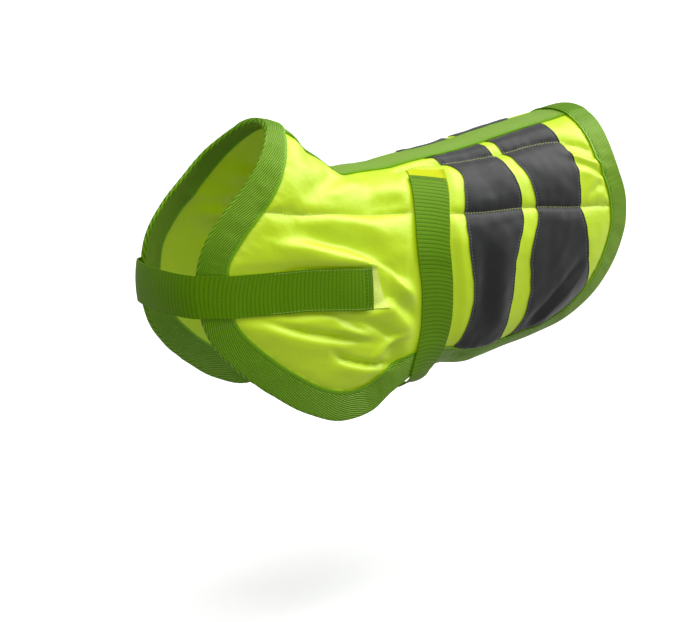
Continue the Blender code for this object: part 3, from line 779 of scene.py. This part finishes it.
beads, tree, shader, pattern = cloth_material("reflective_cloth", {
    "Roughness": 0.5, "Specular IOR Level": 0.25, "Sheen Weight": 0.22, "Sheen Roughness": 0.4,
})
shade = mottled(tree, pattern, 22.0, 4.0)
grey = mix_node(tree, shade, (0.012, 0.0122, 0.013), (0.019, 0.0195, 0.021))
tree.links.new(grey, shader.inputs["Base Color"])
relief(tree, shader, (mottled(tree, pattern, 0.7, 2.0), 0.4, 0.12))
grey_thread = thread_material("grey_thread", (0.20, 0.21, 0.22))

for word, side in SIDES:
    for part, column in BAND_COLUMN.items():
        flat = band_points(column)
        _, outer = wall(flat, side)
        wide = np.tile(BAND_PARTS, BAND_ROWS) * BAND_WIDE[part]
        from_edge = np.minimum(wide, BAND_WIDE[part] - wide)
        low = outer + SEAM + 0.15 * (from_edge < 1)
        low -= STITCH_DENT * np.exp(-((from_edge - BAND_STITCH) ** 2))
        low = np.maximum(low, outer + 0.05)
        piece = sewn_piece(
            f"reflective_band_{part}_{word}", grid_cells(BAND_ROWS, len(BAND_PARTS)),
            laid(flat, low, side), laid(flat, low + BAND_THICK, side), flat, beads,
        )
        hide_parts(f"reflective_{part}_{word}")
        rows = flat.reshape(BAND_ROWS, -1, 2)
        high = (low + BAND_THICK).reshape(BAND_ROWS, -1)
        runs = [stitch_line(rows[:, k], high[:, k], side) for k in BAND_STITCH_COLUMNS]
        sewn = stitches(f"band_stitches_{part}_{word}", runs, grey_thread)

# ---- Quilting ----
# Two lines of stitches a side in thick pale yellow thread, sewn through the wadding and through
# the bands, so they lie on the bands where they cross them. The straps cover them.

QUILTING_HALF, QUILTING_RAISED = 0.42, 0.25
yellow_thread = thread_material("yellow_thread", (0.58, 0.70, 0.20))

for word, side in SIDES:
    runs = []
    for line in (UPPER_LINE, LOWER_LINE):
        line = curve(line, 1.0)
        s, edges = line[:, 0], through(BANDS[:, 0], BANDS[:, 1:], line[:, 1])
        on_band = np.zeros(len(line))
        for k in BAND_COLUMN.values():
            past_front = smooth(s, edges[:, k] - 0.5, edges[:, k] + 0.5)
            on_band += past_front * smooth(s, edges[:, k + 1] + 0.5, edges[:, k + 1] - 0.5)
        _, outer = wall(line, side)
        height = outer + on_band * (SEAM + BAND_THICK + QUILTING_RAISED)
        runs.append(stitch_line(line, height, side, strap_press(line, 0) > 0.5))
    sewn = stitches(
        f"quilting_stitches_{word}", runs, yellow_thread, QUILTING_HALF
    )

# ---- Spine tape ----
# A straight length of the binding's twill tape, sewn flat over the join of the two halves from
# the neck edge to the tail, where its end goes under the binding.

TAPE_THICK = 0.9
TAPE_COLUMNS, TAPE_STEP = 25, 2.0
TAPE_UNDER_BINDING = 6  # how far each end goes under the binding
TAPE_STITCH_COLUMNS, TAPE_STITCH_FREE = (1, -2), 4  # columns sewn, rows left free at the ends
# The tape's green is painted lighter on the tops of its ribs and darker in the grooves between
# them: painted light and painted shade on the ribs.
TWILL_GROOVE_PAINTED_SHADE, TWILL_RIB_PAINTED_LIGHT = (0.020, 0.085, 0.0003), (0.165, 0.40, 0.0015)
GREEN_DEEP, GREEN_SOFT = (0.065, 0.20, 0.0008), (0.095, 0.27, 0.001)
SELVEDGE, SELVEDGE_GREEN = 2.6, (0.13, 0.34, 0.0015)  # plain woven edge beside the ribs

tape_green, tree, shader, pattern = cloth_material("twill_tape", {
    "Roughness": 0.42, "Specular IOR Level": 0.8, "Specular Tint": (0.85, 1.0, 0.2, 1.0),
    "Sheen Weight": 0.30, "Sheen Roughness": 0.3, "Sheen Tint": (0.8, 1.0, 0.15, 1.0),
})
rib = twilled(tree, pattern, 1.7, 14.0)
edge_at = add(tree, "SeparateXYZ", {0: add(tree, "UVMap", uv_map="edge").outputs[0]}).outputs[0]
selvedge = add(tree, "MapRange", {
    "Value": edge_at, "From Min": SELVEDGE, "From Max": SELVEDGE + 0.5,
    "To Min": 1.0, "To Max": 0.0,
}).outputs[0]
# Painted light on the ribs' tops and painted shade in their grooves
green = mix_node(tree, rib, TWILL_GROOVE_PAINTED_SHADE, TWILL_RIB_PAINTED_LIGHT)
for share, size, detail, other in ((0.5, 3.0, 3.0, GREEN_DEEP), (0.35, 40.0, 2.0, GREEN_SOFT)):
    shade = mottled(tree, pattern, size, detail)
    green = mix_node(tree, math_node(tree, "MULTIPLY", shade, share), green, other)
green = mix_node(tree, math_node(tree, "MULTIPLY", selvedge, 0.8), green, SELVEDGE_GREEN)
tree.links.new(green, shader.inputs["Base Color"])
relief(tree, shader, (math_node(tree, "MAXIMUM", rib, selvedge), 1.0, 0.5))
green_thread = thread_material("green_thread", (0.10, 0.34, 0.012))

nape_end = BINDING_END[0, 0] - TAPE_UNDER_BINDING
tail_end = BINDING_END[-1, 0] + TAPE_UNDER_BINDING
tape_run = np.arange(nape_end, tail_end, TAPE_STEP)
across = np.linspace(-TAPE_HALF, TAPE_HALF, TAPE_COLUMNS)
tape_flat = np.stack(np.meshgrid(tape_run, across, indexing="ij"), -1).reshape(-1, 2)
from_middle = np.abs(tape_flat[:, 1])
_, tape_wall = wall(np.abs(tape_flat), LEFT)
tape_low = tape_wall + SEAM
tape_low += 0.25 * ripple(tape_flat[:, 0], 16, 60) * smooth(from_middle, 6, TAPE_HALF)
spine = sewn_piece(
    "spine_tape_twill", grid_cells(len(tape_run), TAPE_COLUMNS), laid(tape_flat, tape_low, LEFT),
    laid(tape_flat, tape_low + TAPE_THICK, LEFT), tape_flat, tape_green, TAPE_HALF - from_middle,
)
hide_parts("spine_tape")
sewn_rows = slice(TAPE_STITCH_FREE, -TAPE_STITCH_FREE)
lines = tape_flat.reshape(-1, TAPE_COLUMNS, 2)[sewn_rows]
tops = (tape_low + TAPE_THICK).reshape(-1, TAPE_COLUMNS)[sewn_rows]
runs = [stitch_line(lines[:, k], tops[:, k], LEFT) for k in TAPE_STITCH_COLUMNS]
sewn = stitches("spine_tape_stitches", runs, green_thread)

# ---- Binding ----
# The same tape folded in half round the whole cut edge, a leaf on each face of the cloth, sewn
# through near its inner edge. It starts and ends under the girth strap, and at the spine.

JOIN_S, JOIN_T = 167.0, 200.0  # the front length ends where the edge passes this place
FOLD_STATIONS, FOLD_PAST, FOLD_RUN = 7, 0.8, 2.5
LEAF_EDGE_UP = 0.5
STITCH_IN, STITCH_PULL, STITCH_BREADTH = 2.6, 0.5, 1.1  # in from the leaf's edge, and how deep
OVER_TAPE_END = 1.25  # how far the leaf rises over the spine tape's end
LEAF_STITCHES = ((2, 3, 1), (-4, -3, -1))  # the rows beside them, and which way they face
STITCHED_LINE, BINDING_STITCH_FREE = 22, 3  # the leaf line under them, rows free at the ends

edge_skin, edge_out, _, _ = chart(EDGE_LINE)
edge_long = run_along(edge_skin)
edge_ways = unit(np.cross(unit(np.gradient(edge_skin, axis=0)), edge_out))
edge_ways[[0, -1], 1] = 0.0
edge_ways = unit(edge_ways)
join = int(np.flatnonzero((EDGE_LINE[:, 0] > JOIN_S) & (EDGE_LINE[:, 1] > JOIN_T))[0])
BOUND = {"front": slice(0, join), "rear": slice(join, len(EDGE_LINE))}


def binding_rows(side):
    """Low and high faces of the folded tape as rows from its outer leaf to its inner leaf."""
    low, high, places, woven = [], [], [], []

    def row(under, over, across_tape, from_woven):
        """One row of the tape, with its place on the flat tape."""
        low.append(under)
        high.append(over)
        places.append(np.stack([edge_long, across_tape * np.ones(len(edge_long))], 1))
        woven.append(from_woven * np.ones(len(edge_long)))

    pucker = ripple(EDGE_RUN, 14, 70) + 0.6 * ripple(EDGE_RUN, 7, 71)
    for column in range(LEAF_COLUMNS, -1, -1):
        line, part = LEAF_LINES[column], column / LEAF_COLUMNS
        _, outer = wall(line, side)
        from_edge = (1 - part) * BINDING_WIDE
        lift = SEAM + 0.4 * pucker * math.sin(math.pi * part) ** 2
        lift += LEAF_EDGE_UP * math.exp(-from_edge / 1.2)
        lift -= STITCH_PULL * math.exp(-(((from_edge - STITCH_IN) / STITCH_BREADTH) ** 2))
        lift += OVER_TAPE_END * smooth(line[:, 1], TAPE_HALF + 10, TAPE_HALF)
        faces = [laid(line, outer + lift + thick, side) for thick in (0.0, TAPE_THICK)]
        row(*faces, part * LEAF_WIDE, (1 - part) * LEAF_WIDE)
    inner, outer = wall(EDGE_LINE, side)
    middle, half = (inner + outer) / 2, (outer - inner) / 2 + SEAM
    for turn in np.linspace(0, math.pi, FOLD_STATIONS + 2)[1:-1]:
        faces = []
        for thick in (0.0, TAPE_THICK):
            up = middle + (half + thick) * math.cos(turn)
            past = (FOLD_PAST + thick + 0.25 * pucker) * math.sin(turn)
            points = edge_skin + edge_out * up[:, None] + edge_ways * past[:, None]
            faces.append(on_side(points, side))
        row(*faces, -FOLD_RUN * turn / math.pi, LEAF_WIDE)
    for column, line in enumerate(LEAF_LINES):
        inner, _ = wall(line, side)
        part = column / LEAF_COLUMNS
        faces = [laid(line, inner - SEAM - thick, side) for thick in (0.0, TAPE_THICK)]
        row(*faces, -FOLD_RUN - part * LEAF_WIDE, (1 - part) * LEAF_WIDE)
    return np.array(low), np.array(high), np.array(places), np.array(woven)


for word, side in SIDES:
    low, high, places, woven = binding_rows(side)
    for part, stretch in BOUND.items():
        rows = low[:, stretch]
        piece = sewn_piece(
            f"edge_binding_{part}_{word}", grid_cells(*rows.shape[:2]), rows.reshape(-1, 3),
            high[:, stretch].reshape(-1, 3), places[:, stretch].reshape(-1, 2), tape_green,
            woven[:, stretch].ravel(),
        )
        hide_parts(f"binding_{part}_{word}")
        sewn_rows = slice(BINDING_STITCH_FREE, -BINDING_STITCH_FREE)
        under = LEAF_LINES[STITCHED_LINE][stretch][sewn_rows]
        runs = []
        for near, far, way in LEAF_STITCHES:
            line = ((high[near] + high[far]) / 2)[stretch][sewn_rows]
            shows = strap_press(under, 0) > 0.5 if way > 0 else np.ones(len(line))
            runs.append((line, way * on_side(chart(under)[1], side), shows))
        sewn = stitches(f"binding_stitches_{part}_{word}", runs, green_thread)

# ---- Loop patches ----
# The soft halves of the two touch-tape closures, sewn on the left panel: pale loop cloth for the
# chest strap, and the panel's own yellow for the girth strap. Each shows past its strap's end.

PATCH_SHOWS, PATCH_LONG = 12.0, 80.0
PATCH_ROWS, PATCH_COLUMNS = 48, 21
PATCH_END = 8.0  # the patch begins this far along the line that it follows
PATCHES = {
    "chest_loop_patch": {
        "middle": CHEST_LINE, "lean": 4.0, "aside": 0.0,
        "dark": (0.50, 0.66, 0.07), "light": (0.80, 0.90, 0.24),
    },
    "girth_loop_patch": {
        "middle": GIRTH_LINE, "lean": 0.0, "aside": 1.6,
        "dark": (0.40, 0.46, 0.002), "light": (0.54, 0.60, 0.012),
    },
}


def patch_points(middle, lean, aside):
    """The pattern's points of a loop patch, row by row from its free end, which leans."""
    end = unit(middle[0] - middle[1])
    _, _, by_s, by_t = chart(middle[:1])
    stretch = np.linalg.norm(by_s[0] * end[0] + by_t[0] * end[1])
    line = np.vstack([middle[0] + end * (PATCH_SHOWS + PATCH_END) / stretch, middle])
    run = run_along(chart(line)[0])
    sides = []
    for across in np.linspace(-1, 1, PATCH_COLUMNS):
        rows = np.linspace(PATCH_END - lean * across, PATCH_LONG + PATCH_SHOWS, PATCH_ROWS)
        spots = np.stack([np.interp(rows, run, line[:, i]) for i in (0, 1)], 1)
        sides.append(inset(spots, np.full(len(rows), across * WEBBING_HALF + aside), steps=3))
    return np.stack(sides, 1).reshape(-1, 2)


for name, patch in PATCHES.items():
    loops, tree, shader, pattern = cloth_material(
        f"{name}_fuzz", {"Roughness": 0.9, "Specular IOR Level": 0.15}
    )
    fuzz = mottled(tree, pattern, 1.3, 4.0)
    yellow = mix_node(tree, fuzz, patch["dark"], patch["light"])
    tree.links.new(yellow, shader.inputs["Base Color"])
    relief(tree, shader, (fuzz, 0.9, 0.5))
    flat = patch_points(patch["middle"], patch["lean"], patch["aside"])
    _, outer = wall(flat, LEFT)
    low = outer + SEAM
    sewn_piece(
        f"{name}_cloth", grid_cells(PATCH_ROWS, PATCH_COLUMNS), laid(flat, low, LEFT),
        laid(flat, low + TAPE_THICK, LEFT), flat, loops,
    )
    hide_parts(name)

# ---- Straps ----
# Green ribbed webbing. Each strap is sewn to the right panel, crosses the open chest or the open
# belly, and closes with touch tape on its loop patch on the left panel.

WEBBING_THICK = 1.3
CHEST_REACH, GIRTH_REACH = 60.0, 95.0  # how far the free webbing keeps its heading
CHEST_SPANS, GIRTH_SPANS = 70, 80
STRAP_ROWS, STRAP_COLUMNS = 110, 21
PAST_EDGE = 40  # the strap's line is carried on this far, to be cut back at the edge
BRIDGED_ROWS, EVENED = 3, 12  # stiff webbing bridges so many rows, evened so many times
# The webbing's green is painted darker in the narrow grooves between its ribs, as painted shade;
# the rib tops keep its own green.
WEBBING_GREEN, WEBBING_GROOVE_PAINTED_SHADE = (0.094, 0.225, 0.0005), (0.052, 0.145, 0.0003)
WEBBING_FADED = (0.080, 0.210, 0.001)
RIB_PITCH, YARN_PITCH, RIB_NARROW = 3.7, 1.2, 3.0

webbing, tree, shader, pattern = cloth_material("webbing", {
    "Roughness": 0.55, "Specular IOR Level": 0.2, "Specular Tint": (0.95, 1.0, 0.2, 1.0),
    "Sheen Weight": 0.08, "Sheen Tint": (0.95, 1.0, 0.3, 1.0),
})
at = add(tree, "SeparateXYZ", {0: pattern})
rib_turn = math_node(tree, "MULTIPLY", at.outputs[0], 2 * math.pi / RIB_PITCH)
gap = math_node(tree, "MULTIPLY_ADD", math_node(tree, "SINE", rib_turn), 0.5, 0.5)
rib = math_node(tree, "SUBTRACT", 1.0, math_node(tree, "POWER", gap, RIB_NARROW))
yarn_turn = math_node(tree, "MULTIPLY", at.outputs[1], 2 * math.pi / YARN_PITCH)
yarn = math_node(tree, "SINE", yarn_turn)
faded = math_node(tree, "MULTIPLY", mottled(tree, pattern, 2.5, 3.0), 0.6)
# Painted shade in the grooves between the ribs, then uneven faded patches
green = mix_node(tree, faded, mix_node(tree, rib, WEBBING_GROOVE_PAINTED_SHADE, WEBBING_GREEN), WEBBING_FADED)
tree.links.new(green, shader.inputs["Base Color"])
relief(tree, shader, (yarn, 0.5, 0.12), (rib, 0.5, 0.4))
pale_thread = thread_material("pale_thread", (0.42, 0.66, 0.10))
dark_thread = thread_material("dark_thread", (0.016, 0.080, 0.002))


def within(flat, loop):
    """How far the pattern's points are inside a closed line, negative outside."""
    return beside(flat, loop)[0] * np.where(inside(flat, loop), 1, -1)


def strap_rows(middle, side, patch):
    """Points of a strap on one panel, row by row from its end to the cut edge, in millimetres."""
    end = unit(middle[-1] - middle[-3])
    line = np.vstack([middle, middle[-1] + end * np.arange(4, PAST_EDGE, 4)[:, None]])
    columns = [
        curve(inset(line, np.full(len(line), w), steps=3), 1.0)
        for w in np.linspace(-WEBBING_HALF, WEBBING_HALF, STRAP_COLUMNS)
    ]
    stops = []
    for column in columns:
        clear = within(column, EDGE_LINE)
        k = int(np.flatnonzero(clear[20:] < 0)[0]) + 20
        stops.append(run_along(column)[k - 1] + clear[k - 1] / (clear[k - 1] - clear[k]))
    number = np.arange(STRAP_COLUMNS)
    stops = np.polyval(np.polyfit(number, stops, 2), number)
    spots = []
    for column, stop in zip(columns, stops):
        places = np.linspace(0, stop, STRAP_ROWS)
        spots.append([np.interp(places, run_along(column), column[:, i]) for i in (0, 1)])
    flat = np.transpose(spots, (2, 0, 1)).reshape(-1, 2)
    _, outer = wall(flat, side)
    off_binding = smooth(within(flat, BINDING_END), -3, 3)
    height = outer + SEAM + (TAPE_THICK + SEAM) * (1 - off_binding)
    if patch:
        along = np.linspace(0, 1, STRAP_ROWS) * run_along(chart(middle)[0])[-1]
        on_patch = smooth(np.repeat(along, STRAP_COLUMNS), PATCH_LONG + 6, PATCH_LONG)
        height += (TAPE_THICK + SEAM) * on_patch * off_binding
    level = height.reshape(STRAP_ROWS, STRAP_COLUMNS).max(axis=1)
    for _ in range(BRIDGED_ROWS):
        before, after = np.r_[level[0], level[:-1]], np.r_[level[1:], level[-1]]
        level = np.max([level, before, after], axis=0)
    for _ in range(EVENED):
        level[1:-1] += (level[:-2] + level[2:] - 2 * level[1:-1]) / 4
    points = laid(flat, np.repeat(level, STRAP_COLUMNS), side)
    return points.reshape(STRAP_ROWS, STRAP_COLUMNS, 3), on_side(chart(flat[:1])[1][0], side)


def strap(name, middle, reach, spans, rows_of_stitches):
    """Webbing from its end on the left panel, over the opening, to its end on the right."""
    left, left_out = strap_rows(middle, LEFT, True)
    right, _ = strap_rows(middle, RIGHT, False)
    heading = unit((left[-1] - left[-9]).mean(axis=0)) * reach
    back = on_side(-heading, RIGHT)
    u = np.linspace(0, 1, spans + 1)[1:-1, None, None]
    span = left[-1] * (2 * u**3 - 3 * u**2 + 1) + heading * (u**3 - 2 * u**2 + u)
    span = span + right[-1] * (3 * u**2 - 2 * u**3) + back * (u**3 - u**2)
    grid = np.concatenate([left, span, right[::-1]])
    normal = unit(np.cross(np.gradient(grid, axis=0), np.gradient(grid, axis=1)))
    normal *= np.sign(normal[0, 0] @ left_out)
    top = grid + normal * WEBBING_THICK
    run = run_along(grid[:, STRAP_COLUMNS // 2])
    across = np.linspace(-WEBBING_HALF, WEBBING_HALF, STRAP_COLUMNS)
    piece = sewn_piece(
        f"{name}_webbing", grid_cells(*grid.shape[:2]), grid.reshape(-1, 3), top.reshape(-1, 3),
        np.stack(np.meshgrid(run, across, indexing="ij"), -1).reshape(-1, 2), webbing,
    )
    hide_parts(name)

    def line_on(start, finish):
        """Points of the strap's top between two places on it, each a distance along and across."""
        spots = curve((start, finish), 1.0)
        i = np.interp(spots[:, 0], run, np.arange(len(run)))
        j = np.interp(spots[:, 1], across, np.arange(STRAP_COLUMNS))
        return between(top, i, j), between(normal, i, j), np.ones(len(spots))

    for number, (thread, lines) in enumerate(rows_of_stitches):
        runs = [line_on(*((run[-1] + a if a < 0 else a, b) for a, b in line)) for line in lines]
        stitches(f"{name}_stitches_{number + 1}", runs, thread)


# Stitches as lines on the strap: distance from its end, from the far end where negative, and
# distance from its middle. The last six lines box and cross the end that is sewn for good.
HOOK_EDGES = (((1.5, -16.6), (100, -16.6)), ((1.5, 16.6), (100, 16.6)))
ENDS = (((2.6, -16.5), (2.6, 16.5)), ((6.6, -16.5), (6.6, 16.5)))
SEWN_BOX = (
    ((-4, -15), (-4, 15)), ((-34, -15), (-34, 15)), ((-34, -15), (-4, -15)), ((-34, 15), (-4, 15)),
    ((-34, -15), (-4, 15)), ((-34, 15), (-4, -15)),
)
strap(
    "chest_strap", CHEST_LINE, CHEST_REACH, CHEST_SPANS,
    ((pale_thread, HOOK_EDGES), (dark_thread, ENDS), (green_thread, SEWN_BOX)),
)
strap(
    "girth_strap", GIRTH_LINE, GIRTH_REACH, GIRTH_SPANS,
    ((dark_thread, ENDS[:1]), (green_thread, SEWN_BOX)),
)

size = {"cad": [list(c) for c in cad_box], "visual": [list(c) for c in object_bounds()]}
